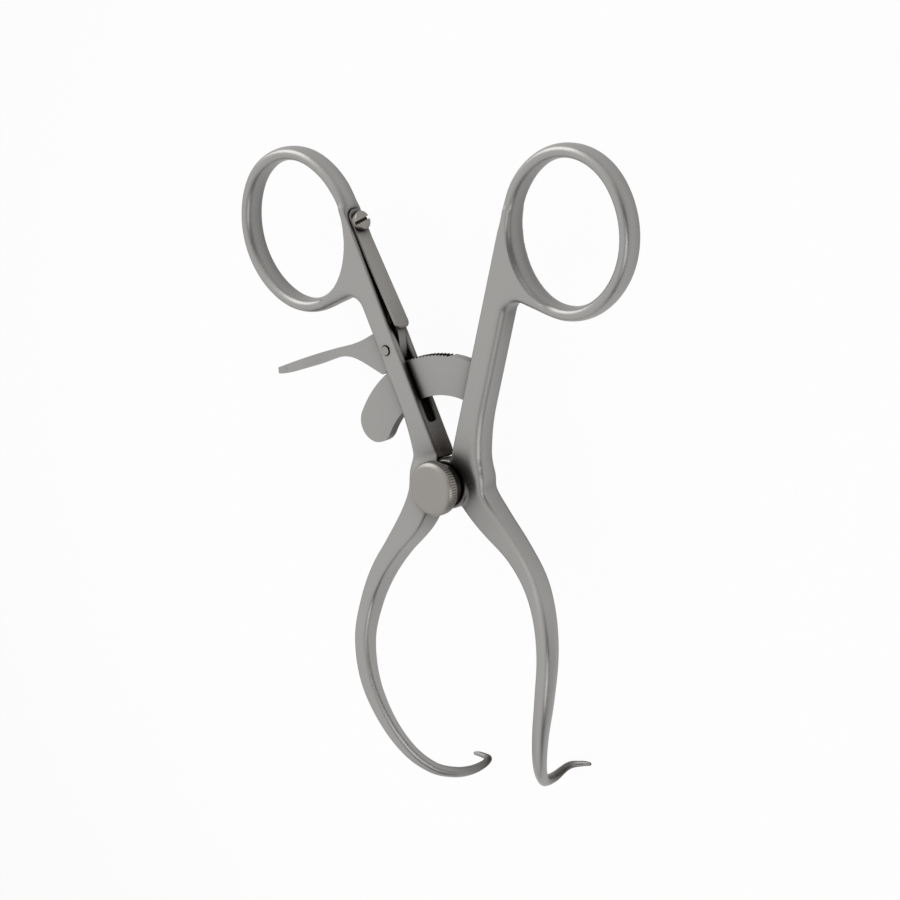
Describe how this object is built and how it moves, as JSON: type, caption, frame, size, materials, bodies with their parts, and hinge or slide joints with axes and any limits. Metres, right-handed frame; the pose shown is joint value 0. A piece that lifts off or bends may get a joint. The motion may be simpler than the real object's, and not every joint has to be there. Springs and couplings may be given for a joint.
{
  "type": "stifle distractor",
  "caption": "Self-retaining joint distractor with ringed arms on one pivot screw, outward hooked jaws, arc ratchet and sprung release lever.",
  "frame": {"origin": "on the pivot screw's axis, at the middle of the finger rings' thickness", "axes": "+X to the right, +Y from the pivot towards the finger rings, +Z out of the front, along the pivot axis towards the screw's head"},
  "size_m": [0.105, 0.1396, 0.026],
  "materials": {
    "satin_steel": "glass-bead blasted satin stainless steel",
    "turned_steel": "turned stainless steel, slightly warmer",
    "spring_steel": "rolled spring steel, satin"
  },
  "bodies": {
    "right_half": {"right_arm": "satin_steel", "ratchet_bar": "satin_steel", "pivot_screw": "turned_steel"},
    "left_half": {"left_arm": "satin_steel", "lever_pin": "turned_steel", "leaf_spring": "spring_steel", "spring_screw": "turned_steel"},
    "lever": {"release_lever": "satin_steel"}
  },
  "joints": [
    {"name": "arm_hinge", "type": "hinge", "parent": "right_half", "child": "left_half", "pos_m": [0, 0, 0], "axis": [0, 0, -1], "range_deg": [-14, 25]},
    {"name": "lever_pivot", "type": "hinge", "parent": "left_half", "child": "lever", "pos_m": [-0.01316, 0.0279, 0], "axis": [0, 0, -1], "range_deg": [0, 12], "stiffness_Nm_per_rad": 0.02, "deforming": ["leaf_spring"]}
  ]
}
